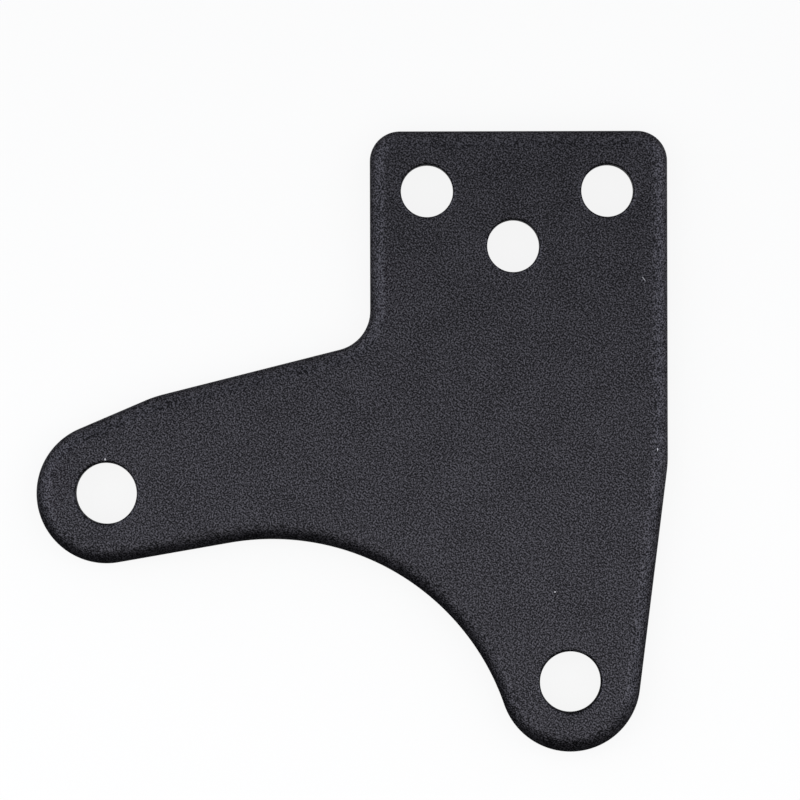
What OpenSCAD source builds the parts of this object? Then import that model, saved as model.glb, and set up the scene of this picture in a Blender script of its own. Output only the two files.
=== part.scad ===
// Brake caliper bracket: one flat plate that bolts to a frame by its tab and carries a caliper
// between the end of its arm and the foot of its leg.
// The plate lies in the XY plane with its back face at Z = 0. The origin is midway between the two
// upper frame holes, +X runs along them and +Y points to the tab's top edge.

/* [Plate] */
// Thickness of the plate
plate_t = 4; // [3:0.1:6]
// Rounding of the front edge of the outline
front_edge_r = 1.8; // [0.6:0.1:2]
// Rounding of the back edge of the outline
back_edge_r = 0.8; // [0.3:0.1:1]
// Rounding of both rims of each hole
hole_edge_r = 0.25; // [0.1:0.05:0.5]
// Height from the top edge of the tab to the foot of the leg
bracket_h = 62; // [58:0.5:70]

/* [Frame tab] */
// Width of the tab
tab_w = 29.7; // [27:0.1:36]
// Offset of the tab's middle from the middle of the upper frame holes
tab_shift = 0.15; // [-1:0.05:1]
// Radius of the two upper corners
tab_corner_r = 3; // [2:0.1:5]
// Distance from the top edge to the inner corner's round, down the arm side
tab_side_h = 17.9; // [15:0.1:20]
// Radius of the inner corner between tab and arm
inner_corner_r = 4; // [2:0.1:6]
// Distance between the two upper frame holes
frame_pitch = 18; // [16:0.1:20]
// Diameter of the frame holes
frame_hole_d = 5.2; // [4:0.1:6]
// Distance from the upper frame holes to the top edge
frame_hole_margin = 6; // [5:0.1:8]
// Distance of the lower frame hole below the upper pair
lower_hole_drop = 5.5; // [4:0.1:8]
// Offset of the lower frame hole from the middle of the upper pair
lower_hole_shift = -0.4; // [-2:0.1:2]

/* [Caliper ends] */
// Distance between the two caliper holes
caliper_pitch = 50; // [48:0.5:56]
// Tilt of the line through the caliper holes
caliper_tilt = 22.25; // [20:0.25:25]
// Diameter of the caliper holes
caliper_hole_d = 6.1; // [5:0.1:7]
// Radius of the plate round each caliper hole
lobe_r = 7; // [6:0.1:8]
// Offset of the leg's hole from the middle of the upper frame holes
leg_hole_x = 5.2; // [3:0.1:7]

/* [Sides] */
// Distance from the top edge to the bend in the leg's outer side
leg_bend_h = 32.5; // [28:0.5:36]
// Radius of the slight bends in the leg's outer side and the arm's upper side
bend_r = 12; // [8:0.5:16]
// Turn of the bend in the arm's upper side
arm_bend_turn = 9; // [5:0.1:14]
// Length of the arm's upper side from the tip's round to its bend
arm_tip_len = 7.2; // [4:0.1:10]
// Slope of the arm's lower side
arm_under_slope = 9.8; // [7:0.1:12]
// Radius of the arch between arm and leg
arch_r = 24.5; // [22:0.1:28]

/* [Hidden] */
$fn = 120;

// How far a cutter reaches past the faces that it cuts
over = 1;
// Number of flat bands that make up an edge rounding
edge_bands = 5;
// How far the blank stands out past the finished outline, and how wide the cut along it is
blank_margin = 1;
cut_w = 1.6;
// Largest turn between two corners of the blank
blank_step = 15;
// A cut runs on past a joint by this much, and the cut that it runs into is this much deeper
seam_reach = 0.1;
seam_step = 0.02;

tab_left = tab_shift - tab_w / 2;
tab_right = tab_shift + tab_w / 2;
tab_top = frame_hole_margin;
leg_hole = [leg_hole_x, tab_top - bracket_h + lobe_r];
arm_hole = leg_hole + caliper_pitch * dir(180 - caliper_tilt);
inner_corner = [tab_left - inner_corner_r, tab_top - tab_side_h];

frame_holes = [[-frame_pitch / 2, 0], [frame_pitch / 2, 0], [lower_hole_shift, -lower_hole_drop]];
caliper_holes = [leg_hole, arm_hole];

// The outline runs clockwise round these circles, each a centre and a radius, and straight between
// them. The radius is negative where the plate lies outside the circle.
rounds = [
    [[tab_left + tab_corner_r, tab_top - tab_corner_r], tab_corner_r],
    [[tab_right - tab_corner_r, tab_top - tab_corner_r], tab_corner_r],
    [[tab_right - bend_r, tab_top - leg_bend_h], bend_r],
    [leg_hole, lobe_r],
    [arch_centre(), -arch_r],
    [arm_hole, lobe_r],
    [arm_bend_centre(), bend_r],
    [inner_corner, -inner_corner_r],
];
last = len(rounds) - 1;

function dir(angle) = [cos(angle), sin(angle)];
function left_of(heading) = dir(heading + 90);
function centre(i) = rounds[i][0];
function radius(i) = rounds[i][1];
function after(i) = i == last ? 0 : i + 1;
function before(i) = i == 0 ? last : i - 1;

// The arch touches both the arm's lower side and the round of the leg's foot
function arch_centre() =
    let (heading = 180 + arm_under_slope)
    let (reach = arch_r + lobe_r)
    let (start = arm_hole + reach * left_of(heading))
    let (gap = start - leg_hole)
    let (along = -gap * dir(heading))
    start - dir(heading) * (-along - sqrt(along * along - gap * gap + reach * reach));

// The arm's upper side touches the inner corner, and bends down by a set turn to the tip's round
function arm_bend_centre() =
    let (step = inner_corner - arm_hole)
    let (drop = arm_tip_len * sin(arm_bend_turn) + (lobe_r - bend_r) * cos(arm_bend_turn))
    let (slope = atan2(step.y, step.x) - asin((bend_r + inner_corner_r + drop) / norm(step)))
    let (tip_slope = slope + arm_bend_turn)
    arm_hole + arm_tip_len * dir(tip_slope) + (lobe_r - bend_r) * left_of(tip_slope);

// Heading and length of the straight stretch that follows round i
function heading(i) =
    let (step = centre(after(i)) - centre(i))
    let (rise = (radius(i) - radius(after(i))) / norm(step))
    atan2(step.y, step.x) - asin(max(-1, min(1, rise)));
function straight_len(i) =
    let (step = centre(after(i)) - centre(i))
    let (rise = radius(i) - radius(after(i)))
    sqrt(max(0, step * step - rise * rise));

// Angle that round i turns through, from 0 to 360
function turn(i) =
    let (change = radius(i) > 0 ? heading(before(i)) - heading(i) : heading(i) - heading(before(i)))
    change - 360 * floor(change / 360);

// Direction from the centre of round i to its start
function start_angle(i) = heading(before(i)) + (radius(i) > 0 ? 90 : -90);

// Corners of the blank round i, a little outside the finished outline
function blank_points(i) =
    let (steps = ceil(turn(i) / blank_step))
    let (sweep = (radius(i) > 0 ? -1 : 1) * turn(i) / steps)
    let (blank_r = abs(radius(i) + blank_margin))
    [for (k = [0 : steps - 1]) centre(i) + blank_r * dir(start_angle(i) + sweep * (k + 0.5))];

// Points of an edge rounding of radius r, from the face at the origin to the side
function edge_points(r) = [for (k = [0 : edge_bands]) [r, r] + r * dir(270 - 90 * k / edge_bands)];

// Section of what is cut off outside an edge: X runs inward from the edge and Y runs up from the back
module edge_waste(width, front_r, back_r) {
    front = [for (p = edge_points(front_r)) [p.x, plate_t - p.y]];
    polygon([
        [-width, -over],
        [back_r, -over],
        each edge_points(back_r),
        for (k = [0 : edge_bands]) front[edge_bands - k],
        [front_r, plate_t + over],
        [-width, plate_t + over],
    ]);
}

module rim_waste() {
    edge_waste(cut_w, front_edge_r, back_edge_r);
}

// Cut along the straight stretch after round i
module straight_waste(i) {
    start = centre(i) + radius(i) * left_of(heading(i));
    lead = radius(i) > 0 ? seam_reach : 0;
    tail = radius(after(i)) > 0 ? seam_reach : 0;
    translate([start.x, start.y, 0])
        rotate([0, 0, heading(i) - 90])
            translate([0, straight_len(i) + tail, 0])
                rotate([90, 0, 0])
                    linear_extrude(straight_len(i) + lead + tail)
                        rim_waste();
}

// Cut round the outside of circle i
module bulging_waste(i) {
    translate([centre(i).x, centre(i).y, 0])
        rotate([0, 0, start_angle(i) - turn(i)])
            rotate_extrude(angle = turn(i))
                translate([radius(i) - seam_step, 0])
                    mirror([1, 0])
                        rim_waste();
}

// Cut round the inside of circle i
module hollow_waste(i) {
    hollow_r = -radius(i);
    reach = seam_reach / hollow_r * 180 / PI;
    translate([centre(i).x, centre(i).y, 0])
        rotate([0, 0, start_angle(i) - reach])
            rotate_extrude(angle = turn(i) + 2 * reach)
                translate([hollow_r - seam_step, 0])
                    rim_waste();
}

// Cutter for a round through hole with rounded rims
module hole(d) {
    rim = [for (p = edge_points(hole_edge_r)) [d / 2 + p.x, p.y]];
    rotate_extrude()
        polygon([
            [0, -over],
            [rim[0].x, -over],
            each rim,
            for (k = [0 : edge_bands]) [rim[edge_bands - k].x, plate_t - rim[edge_bands - k].y],
            [rim[0].x, plate_t + over],
            [0, plate_t + over],
        ]);
}

module caliper_bracket() {
    color("#37363a")
        difference() {
            linear_extrude(plate_t)
                polygon([for (i = [0 : last]) each blank_points(i)]);
            for (i = [0 : last]) {
                if (straight_len(i) > seam_reach)
                    straight_waste(i);
                if (radius(i) > 0)
                    bulging_waste(i);
                else
                    hollow_waste(i);
            }
            for (p = frame_holes)
                translate([p.x, p.y, 0]) hole(frame_hole_d);
            for (p = caliper_holes)
                translate([p.x, p.y, 0]) hole(caliper_hole_d);
        }
}

caliper_bracket();
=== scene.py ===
"""Looks of the brake caliper bracket: a steel plate with a black grained powder coat."""

import math

import bpy
import numpy as np
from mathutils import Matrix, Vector
from mathutils.geometry import delaunay_2d_cdt


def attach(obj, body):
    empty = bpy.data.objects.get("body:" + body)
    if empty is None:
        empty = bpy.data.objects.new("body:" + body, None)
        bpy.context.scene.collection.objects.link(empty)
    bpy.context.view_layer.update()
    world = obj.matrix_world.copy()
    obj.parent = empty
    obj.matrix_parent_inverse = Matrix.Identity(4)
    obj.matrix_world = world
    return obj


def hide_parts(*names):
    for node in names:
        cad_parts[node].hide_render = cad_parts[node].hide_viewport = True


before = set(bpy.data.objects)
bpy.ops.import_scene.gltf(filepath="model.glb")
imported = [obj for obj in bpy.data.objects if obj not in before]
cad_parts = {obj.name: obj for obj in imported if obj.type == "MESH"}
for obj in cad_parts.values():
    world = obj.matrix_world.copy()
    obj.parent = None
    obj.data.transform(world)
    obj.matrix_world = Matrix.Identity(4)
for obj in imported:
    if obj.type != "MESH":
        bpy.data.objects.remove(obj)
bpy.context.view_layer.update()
MM = 0.001

# Sizes of the plate in millimetres and degrees, the same as in the part's source
PLATE_T = 4.0
FRONT_EDGE_R = 1.8
BACK_EDGE_R = 0.8
BRACKET_H = 62.0
TAB_W = 29.7
TAB_SHIFT = 0.15
TAB_CORNER_R = 3.0
TAB_SIDE_H = 17.9
INNER_CORNER_R = 4.0
FRAME_PITCH = 18.0
FRAME_HOLE_D = 5.2
FRAME_HOLE_MARGIN = 6.0
LOWER_HOLE_DROP = 5.5
LOWER_HOLE_SHIFT = -0.4
CALIPER_PITCH = 50.0
CALIPER_TILT = 22.25
CALIPER_HOLE_D = 6.1
LOBE_R = 7.0
LEG_HOLE_X = 5.2
LEG_BEND_H = 32.5
BEND_R = 12.0
ARM_BEND_TURN = 9.0
ARM_TIP_LEN = 7.2
ARM_UNDER_SLOPE = 9.8
ARCH_R = 24.5

# The coat rounds the rims of the holes a little more than the bare plate has them
HOLE_RIM_R = 0.4

# Fineness of the visual mesh: the longest step along the outline in millimetres, the sides of a
# hole, the bands of each rounding, and the distance at which two points count as one
OUTLINE_STEP = 0.35
HOLE_SIDES = 96
FRONT_BANDS = 12
BACK_BANDS = 6
HOLE_BANDS = 6
SAME_POINT = 1e-6

# Noise in the coat, in cells per metre: single grains, pebbles of several grains, and wide clouds.
# The grain's turn about Z is in radians.
GRAIN_SCALE = 6500.0
PEBBLE_SCALE = 2000.0
CLOUD_SCALE = 300.0
GRAIN_TURN = 0.61
# How much pebbles and clouds shift the tone of the grain
PEBBLE_SHARE = 0.09
CLOUD_SHARE = 0.1
# Reflectance of the coat from the pits to the tops of its grain, and its tint
GRAIN_TONES = [(0.35, 0.0115), (0.5, 0.0385), (0.6, 0.064), (0.7, 0.098)]
GRAIN_TINT = (1.0, 0.97, 1.12)
GRAZING_TINT = (0.45, 0.45, 0.45, 1)
# The clouds' usual span of values, and the roughness at its two ends
CLOUD_SPAN = (0.3, 0.7)
ROUGHNESS = (0.38, 0.46)
# Relief of pebbles and grain: strength, and height in millimetres
PEBBLE_RELIEF = (0.5, 0.06)
GRAIN_RELIEF = (1.0, 0.04)
# Small marks where the coat is scuffed: place, half length and half width in millimetres, and
# turn in degrees. A mark fades from the first to the second share of its reach.
SCUFFS = [
    ((3.66, -40.0), 0.11, 0.07, 0),
    ((-41.15, -26.68), 0.1, 0.15, 0),
    ((12.59, -8.81), 0.33, 0.036, -52),
    ((13.93, -25.84), 0.048, 0.19, 0),
]
SCUFF_TONE = (0.55, 0.55, 0.58, 1)
SCUFF_FADE = (1.0, 0.6)

# The floor reaches this far each way, in metres, and lies this many millimetres below the plate's
# back face, so that the two don't share a plane
FLOOR_REACH = 1.5
FLOOR_GAP = 0.02
# Share of plain white that the camera sees in the floor. The rest is matte and takes the shadow,
# with one tone for the camera and another for the light that it throws back.
FLOOR_WHITE = 0.88
FLOOR_TONE = 0.9
FLOOR_BOUNCE = 0.1
# Share of white that gloss mirrors in the floor, which paints shade and light into the floor's
# reflection:
# dark on the picture's lower left, brighter above it or to the right of it, and brightest where it
# is both.
# The steps between them fade over these millimetres of Y and X.
MIRROR_LOW_PAINTED_SHADE = 0.07
MIRROR_SIDE = 0.62
MIRROR_CORNER = 1.0
MIRROR_FADE_Y = (-38.0, -26.0)
MIRROR_FADE_X = (12.0, 18.0)

# Light levels of the room's walls from left to right, and of the room from the picture's lower
# side to its upper side, by the direction's share along X or Y
WALL_LEVELS = [
    (-1.0, 1.6), (-0.8, 1.25), (-0.5, 1.15), (0.0, 0.0), (0.5, 0.96), (0.8, 1.25), (1.0, 2.0),
]
ROOM_LEVELS = [
    (-1.0, 0.015), (-0.8, 0.025), (-0.5, 0.06), (0.0, 0.16), (0.5, 0.16), (0.86, 0.32), (1.0, 0.8),
]
WALL_TINT = (0.97, 1.0, 1.06)
ROOM_TINT = (1.0, 1.0, 1.0)
# The walls dim to a share of their level towards the picture's lower side
WALL_FADE_Y = (-0.4, 0.02)
WALL_FADE = (0.15, 1.0)
# Soft lamps that face straight down: place and size in metres, power in watts, and colour
LAMPS = {
    "overhead": ((-0.024, -0.0795, 0.084), (0.38, 0.14), 0.117, (1.0, 1.0, 1.0)),
    "side": ((-0.122, -0.032, 0.084), (0.075, 0.06), 0.0085, (0.95, 1.0, 1.1)),
}

# Frame of the photograph: scale, place of the part's origin and roll in an image of this many
# pixels each way
IMAGE = 800
PX_PER_MM = 10.031
ORIGIN_PX = (517.242, 190.765)
ROLL = math.radians(0.15)
# The camera's height above the plate in metres, and its sensor in millimetres
CAMERA_DISTANCE = 0.9
SENSOR = 36.0


def heading_dir(angle):
    return np.array([math.cos(math.radians(angle)), math.sin(math.radians(angle))])


def left_of(angle):
    return heading_dir(angle + 90)


def angle_of(step):
    return math.degrees(math.atan2(step[1], step[0]))


def sine_angle(share):
    return math.degrees(math.asin(max(-1.0, min(1.0, share))))


tab_left = TAB_SHIFT - TAB_W / 2
tab_right = TAB_SHIFT + TAB_W / 2
tab_top = FRAME_HOLE_MARGIN
leg_hole = np.array([LEG_HOLE_X, tab_top - BRACKET_H + LOBE_R])
arm_hole = leg_hole + CALIPER_PITCH * heading_dir(180 - CALIPER_TILT)
inner_corner = np.array([tab_left - INNER_CORNER_R, tab_top - TAB_SIDE_H])
holes = [
    (np.array([-FRAME_PITCH / 2, 0.0]), FRAME_HOLE_D / 2),
    (np.array([FRAME_PITCH / 2, 0.0]), FRAME_HOLE_D / 2),
    (np.array([LOWER_HOLE_SHIFT, -LOWER_HOLE_DROP]), FRAME_HOLE_D / 2),
    (leg_hole, CALIPER_HOLE_D / 2),
    (arm_hole, CALIPER_HOLE_D / 2),
]


def arch_centre():
    """The arch touches the arm's lower side and the round of the leg's foot."""
    along = heading_dir(180 + ARM_UNDER_SLOPE)
    reach = ARCH_R + LOBE_R
    start = arm_hole + reach * left_of(180 + ARM_UNDER_SLOPE)
    gap = start - leg_hole
    lead = gap @ along
    return start - along * (lead - math.sqrt(lead * lead - gap @ gap + reach * reach))


def arm_bend_centre():
    """The arm's upper side touches the inner corner and bends down to the tip's round."""
    step = inner_corner - arm_hole
    turn = math.radians(ARM_BEND_TURN)
    drop = ARM_TIP_LEN * math.sin(turn) + (LOBE_R - BEND_R) * math.cos(turn)
    slope = angle_of(step) - sine_angle((BEND_R + INNER_CORNER_R + drop) / np.hypot(*step))
    tip_slope = slope + ARM_BEND_TURN
    side = (LOBE_R - BEND_R) * left_of(tip_slope)
    return arm_hole + ARM_TIP_LEN * heading_dir(tip_slope) + side


# The outline runs clockwise round these circles and straight between them.
# The radius is negative where the plate lies outside the circle.
rounds = [
    (np.array([tab_left + TAB_CORNER_R, tab_top - TAB_CORNER_R]), TAB_CORNER_R),
    (np.array([tab_right - TAB_CORNER_R, tab_top - TAB_CORNER_R]), TAB_CORNER_R),
    (np.array([tab_right - BEND_R, tab_top - LEG_BEND_H]), BEND_R),
    (leg_hole, LOBE_R),
    (arch_centre(), -ARCH_R),
    (arm_hole, LOBE_R),
    (arm_bend_centre(), BEND_R),
    (inner_corner, -INNER_CORNER_R),
]


def outline():
    """Points of the outline and their outward normals, clockwise."""
    following = rounds[1:] + rounds[:1]
    headings = []
    for (centre, r), (next_centre, next_r) in zip(rounds, following):
        step = next_centre - centre
        headings.append(angle_of(step) - sine_angle((r - next_r) / np.hypot(*step)))
    points, normals = [], []
    for i, ((centre, r), (next_centre, next_r)) in enumerate(zip(rounds, following)):
        before, after = headings[i - 1], headings[i]
        turn = -((before - after) % 360) if r > 0 else (after - before) % 360
        count = max(2, math.ceil(abs(math.radians(turn) * r) / OUTLINE_STEP))
        for k in range(count + 1):
            side = left_of(before + turn * k / count)
            points.append(centre + r * side)
            normals.append(side)
        side = left_of(after)
        start, end = centre + r * side, next_centre + next_r * side
        count = math.ceil(np.hypot(*(end - start)) / OUTLINE_STEP)
        for k in range(1, count):
            points.append(start + (end - start) * k / count)
            normals.append(side)
    kept = [i for i, p in enumerate(points) if np.hypot(*(p - points[i - 1])) > SAME_POINT]
    return np.array(points)[kept], np.array(normals)[kept]


def edge_profile(front_r, back_r, front_bands, back_bands):
    """Rows down an edge from the front to the back: depth inward, height, and the outward and
    upward shares of the normal."""
    rows = []
    for k in range(front_bands + 1):
        a = math.radians(90 * k / front_bands)
        out, up = math.sin(a), math.cos(a)
        rows.append((front_r * (1 - out), PLATE_T - front_r * (1 - up), out, up))
    for k in range(back_bands + 1):
        a = math.radians(90 * k / back_bands)
        out, down = math.cos(a), math.sin(a)
        rows.append((back_r * (1 - out), back_r * (1 - down), out, -down))
    return rows


def build_plate():
    """One closed mesh with true rounded edges; every vertex carries its surface's own normal."""
    verts, norms, faces = [], [], []

    def add_wall(points, outward, profile):
        """A band of quads down an edge. Returns the first indices of its front and back rings,
        and the number of points in a ring."""
        n = len(points)
        base = len(verts)
        for depth, z, out, up in profile:
            for p, o in zip(points, outward):
                verts.append((p[0] - o[0] * depth, p[1] - o[1] * depth, z))
                norms.append((o[0] * out, o[1] * out, up))
        for row in range(len(profile) - 1):
            for i in range(n):
                a, b = base + row * n + i, base + row * n + (i + 1) % n
                faces.append((a, b, b + n, a + n))
        return base, base + (len(profile) - 1) * n, n

    rim_profile = edge_profile(FRONT_EDGE_R, BACK_EDGE_R, FRONT_BANDS, BACK_BANDS)
    hole_profile = edge_profile(HOLE_RIM_R, HOLE_RIM_R, HOLE_BANDS, HOLE_BANDS)
    loops = [add_wall(*outline(), rim_profile)]
    angles = [2 * math.pi * k / HOLE_SIDES for k in range(HOLE_SIDES)]
    inward = np.array([(-math.cos(a), -math.sin(a)) for a in angles])
    for centre, radius in holes:
        loops.append(add_wall(centre - inward * radius, inward, hole_profile))

    def add_face(firsts, flip):
        """The flat face between the outline's ring and the holes' rings."""
        ids, edges = [], []
        for first, (_, _, n) in zip(firsts, loops):
            at = len(ids)
            ids += range(first, first + n)
            edges += [(at + i, at + (i + 1) % n) for i in range(n)]
        flat = [Vector(verts[i][:2]) for i in ids]
        inside = math.cos(math.pi / HOLE_SIDES)
        rings = [(Vector(c), (r + HOLE_RIM_R) * inside) for c, r in holes]
        # Mode 2 gives triangles inside the outline. Those that fill a hole are left out here.
        triangles = delaunay_2d_cdt(flat, edges, [], 2, SAME_POINT)[2]
        for triangle in triangles:
            a, b, c = (flat[k] for k in triangle)
            middle = (a + b + c) / 3
            if any((centre - middle).length < reach for centre, reach in rings):
                continue
            turns_left = (b - a).cross(c - a) > 0
            ordered = triangle if turns_left != flip else triangle[::-1]
            faces.append(tuple(ids[k] for k in ordered))

    add_face([front for front, _, _ in loops], False)
    add_face([back for _, back, _ in loops], True)

    mesh = bpy.data.meshes.new("bracket_plate")
    mesh.from_pydata([tuple(c * MM for c in v) for v in verts], [], faces)
    mesh.validate()
    mesh.shade_smooth()
    mesh.normals_split_custom_set_from_vertices(norms)
    made = bpy.data.objects.new("bracket_plate", mesh)
    bpy.context.scene.collection.objects.link(made)
    return made


def empty_tree(owner):
    """Node tree of a material or world, with nothing in it."""
    owner.use_nodes = True
    owner.node_tree.nodes.clear()
    return owner.node_tree


def add_node(tree, kind, inputs, **settings):
    """New node. Each input is given a constant, or the socket that feeds it."""
    made = tree.nodes.new(kind)
    for key, value in settings.items():
        setattr(made, key, value)
    for key, value in inputs.items():
        if isinstance(value, bpy.types.NodeSocket):
            tree.links.new(value, made.inputs[key])
        else:
            made.inputs[key].default_value = value
    return made


def calc(tree, operation, *values):
    """Result of one math node."""
    inputs = dict(enumerate(values))
    return add_node(tree, "ShaderNodeMath", inputs, operation=operation).outputs[0]


def carried(tree, value, span, result=(0.0, 1.0)):
    """A value carried from one span to another, and held at its ends."""
    inputs = {
        "Value": value,
        "From Min": span[0], "From Max": span[1],
        "To Min": result[0], "To Max": result[1],
    }
    return add_node(tree, "ShaderNodeMapRange", inputs).outputs["Result"]


def tones(tree, value, stops, tint):
    """Tinted tone that follows a value from 0 to 1 through its stops."""
    made = add_node(tree, "ShaderNodeValToRGB", {"Fac": value})
    elements = made.color_ramp.elements
    while len(elements) < len(stops):
        elements.new(0.5)
    for element, (at, level) in zip(elements, stops):
        element.position = at
        element.color = (level * tint[0], level * tint[1], level * tint[2], 1)
    return made.outputs["Color"]


def coat_material():
    """Black powder coat with a fine pebbled grain and a few small scuffs."""
    mat = bpy.data.materials.new("black_powder_coat")
    tree = empty_tree(mat)
    place = add_node(tree, "ShaderNodeTexCoord", {}).outputs["Object"]

    def noise(where, scale, detail):
        inputs = {"Vector": where, "Scale": scale, "Detail": detail}
        return add_node(tree, "ShaderNodeTexNoise", inputs).outputs["Fac"]

    # Both flat faces are planes of the noise's lattice, which keeps the grains to one size there
    lattice = {"Vector": place, "Rotation": (0, 0, GRAIN_TURN), "Location": (0, 0, -PLATE_T * MM)}
    turned = add_node(tree, "ShaderNodeMapping", lattice).outputs[0]
    grain = noise(turned, GRAIN_SCALE, 0.0)
    pebble = noise(turned, PEBBLE_SCALE, 1.0)
    cloud = noise(place, CLOUD_SCALE, 2.0)

    height = calc(tree, "MULTIPLY_ADD", pebble, PEBBLE_SHARE, grain)
    height = calc(tree, "MULTIPLY_ADD", cloud, CLOUD_SHARE, height)
    height = calc(tree, "SUBTRACT", height, (PEBBLE_SHARE + CLOUD_SHARE) / 2)
    colour = tones(tree, height, GRAIN_TONES, GRAIN_TINT)
    for (x, y), length, width, turn in SCUFFS:
        spot = {
            "Vector": place,
            "Location": (x * MM, y * MM, PLATE_T * MM),
            "Rotation": (0, 0, math.radians(turn)),
            "Scale": (length * MM, width * MM, PLATE_T * MM),
        }
        spot = add_node(tree, "ShaderNodeMapping", spot, vector_type="TEXTURE").outputs[0]
        reach = add_node(tree, "ShaderNodeVectorMath", {0: spot}, operation="LENGTH")
        worn = carried(tree, reach.outputs["Value"], SCUFF_FADE)
        # Inputs 6 and 7 and output 2 of a Mix node are its colours
        mix = {0: worn, 6: colour, 7: SCUFF_TONE}
        colour = add_node(tree, "ShaderNodeMix", mix, data_type="RGBA").outputs[2]

    def relief(noise_height, size, below):
        inputs = {"Height": noise_height, "Strength": size[0], "Distance": size[1] * MM, **below}
        return add_node(tree, "ShaderNodeBump", inputs).outputs["Normal"]

    pebbled = relief(pebble, PEBBLE_RELIEF, {})
    grained = relief(grain, GRAIN_RELIEF, {"Normal": pebbled})
    coat = add_node(tree, "ShaderNodeBsdfPrincipled", {
        "Base Color": colour,
        "Metallic": 1.0,
        "Specular Tint": GRAZING_TINT,
        "Roughness": carried(tree, cloud, CLOUD_SPAN, ROUGHNESS),
        "Normal": grained,
    })
    add_node(tree, "ShaderNodeOutputMaterial", {"Surface": coat.outputs[0]})
    return mat


def floor_material():
    """White to the camera with a soft shadow, and clear from below, to show the plate's back."""
    mat = bpy.data.materials.new("floor_white")
    tree = empty_tree(mat)
    path = add_node(tree, "ShaderNodeLightPath", {}).outputs
    spot = add_node(tree, "ShaderNodeNewGeometry", {}).outputs
    split = add_node(tree, "ShaderNodeSeparateXYZ", {0: spot["Position"]}).outputs

    seen = path["Is Camera Ray"]
    tone = calc(tree, "MULTIPLY_ADD", seen, FLOOR_TONE - FLOOR_BOUNCE, FLOOR_BOUNCE)
    matte = add_node(tree, "ShaderNodeBsdfDiffuse", {"Color": tone}).outputs[0]
    white = add_node(tree, "ShaderNodeEmission", {"Strength": 1.0}).outputs[0]

    # Painted shade in the floor's reflection: gloss sees little of the floor's white on the
    # picture's lower left, more above it and to the right
    upper = carried(tree, split["Y"], [y * MM for y in MIRROR_FADE_Y])
    right = carried(tree, split["X"], [x * MM for x in MIRROR_FADE_X])
    either = calc(tree, "MAXIMUM", upper, right)
    both = calc(tree, "MULTIPLY", upper, right)
    painted_mirror_share = calc(tree, "MULTIPLY_ADD", either, MIRROR_SIDE - MIRROR_LOW_PAINTED_SHADE, MIRROR_LOW_PAINTED_SHADE)
    painted_mirror_share = calc(tree, "MULTIPLY_ADD", both, MIRROR_CORNER - MIRROR_SIDE, painted_mirror_share)
    mirrored = calc(tree, "MAXIMUM", path["Is Glossy Ray"], path["Is Transmission Ray"])
    mirrored = calc(tree, "MULTIPLY", mirrored, painted_mirror_share)
    share = calc(tree, "MULTIPLY_ADD", seen, FLOOR_WHITE, mirrored)

    above = add_node(tree, "ShaderNodeMixShader", {0: share, 1: matte, 2: white}).outputs[0]
    clear = add_node(tree, "ShaderNodeBsdfTransparent", {}).outputs[0]
    sides = add_node(tree, "ShaderNodeMixShader", {0: spot["Backfacing"], 1: above, 2: clear})
    add_node(tree, "ShaderNodeOutputMaterial", {"Surface": sides.outputs[0]})
    return mat


def add_floor():
    """Plain white floor just below the plate."""
    mesh = bpy.data.meshes.new("floor")
    corners = [(-1, -1), (1, -1), (1, 1), (-1, 1)]
    verts = [(x * FLOOR_REACH, y * FLOOR_REACH, -FLOOR_GAP * MM) for x, y in corners]
    mesh.from_pydata(verts, [], [(0, 1, 2, 3)])
    mesh.materials.append(floor_material())
    floor = bpy.data.objects.new("floor", mesh)
    bpy.context.scene.collection.objects.link(floor)


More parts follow.
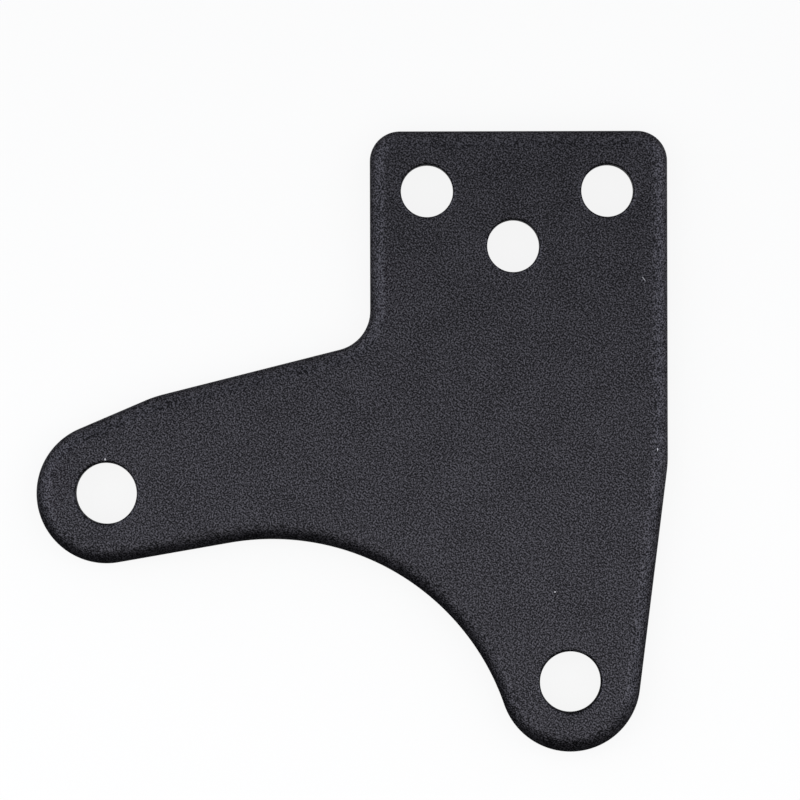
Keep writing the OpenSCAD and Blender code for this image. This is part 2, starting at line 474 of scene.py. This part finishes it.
def add_room():
    """A soft studio: bright walls left and right, and a dark side below the picture."""
    world = bpy.data.worlds.new("studio")
    bpy.context.scene.world = world
    tree = empty_tree(world)
    place = add_node(tree, "ShaderNodeTexCoord", {}).outputs["Generated"]
    split = add_node(tree, "ShaderNodeSeparateXYZ", {0: place}).outputs
    x, y = split["X"], split["Y"]

    def levels(value, stops, tint):
        """Light level along one axis of the room, from -1 to 1."""
        span = calc(tree, "MULTIPLY_ADD", value, 0.5, 0.5)
        return tones(tree, span, [((at + 1) / 2, level) for at, level in stops], tint)

    def scaled(colour, factor):
        inputs = {0: colour, "Scale": factor}
        return add_node(tree, "ShaderNodeVectorMath", inputs, operation="SCALE").outputs[0]

    # The room gives way to the walls towards the left and right
    inner = calc(tree, "SUBTRACT", 1.0, calc(tree, "ABSOLUTE", x))
    room = scaled(levels(y, ROOM_LEVELS, ROOM_TINT), inner)
    fade = carried(tree, y, WALL_FADE_Y, WALL_FADE)
    walls = scaled(levels(x, WALL_LEVELS, WALL_TINT), fade)
    total = add_node(tree, "ShaderNodeVectorMath", {0: room, 1: walls}, operation="ADD").outputs[0]
    light = add_node(tree, "ShaderNodeBackground", {"Color": total, "Strength": 1.0}).outputs[0]
    add_node(tree, "ShaderNodeOutputWorld", {"Surface": light})


def add_lamps():
    """The soft lamps, which the camera doesn't see."""
    for name, (place, size, watts, colour) in LAMPS.items():
        light = bpy.data.lights.new(name, "AREA")
        light.shape = "RECTANGLE"
        light.size, light.size_y = size
        light.energy = watts
        light.color = colour
        lamp = bpy.data.objects.new(name, light)
        lamp.location = place
        lamp.visible_camera = False
        bpy.context.scene.collection.objects.link(lamp)


def add_camera():
    """Camera that looks straight down and frames the plate as the photograph does."""
    u = (IMAGE / 2 - ORIGIN_PX[0]) / PX_PER_MM
    v = (ORIGIN_PX[1] - IMAGE / 2) / PX_PER_MM
    x = u * math.cos(ROLL) + v * math.sin(ROLL)
    y = v * math.cos(ROLL) - u * math.sin(ROLL)
    data = bpy.data.cameras.new("camera")
    data.sensor_fit = "HORIZONTAL"
    data.sensor_width = SENSOR
    data.lens = SENSOR * CAMERA_DISTANCE / (IMAGE / PX_PER_MM * MM)
    camera = bpy.data.objects.new("camera", data)
    camera.location = (x * MM, y * MM, PLATE_T * MM + CAMERA_DISTANCE)
    camera.rotation_euler = (0, 0, -ROLL)
    bpy.context.scene.collection.objects.link(camera)
    bpy.context.scene.camera = camera


plate = build_plate()
plate.data.materials.append(coat_material())
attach(plate, "root")
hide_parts("caliper_bracket")
add_floor()
add_room()
add_lamps()
add_camera()
bpy.context.scene.view_settings.view_transform = "Standard"
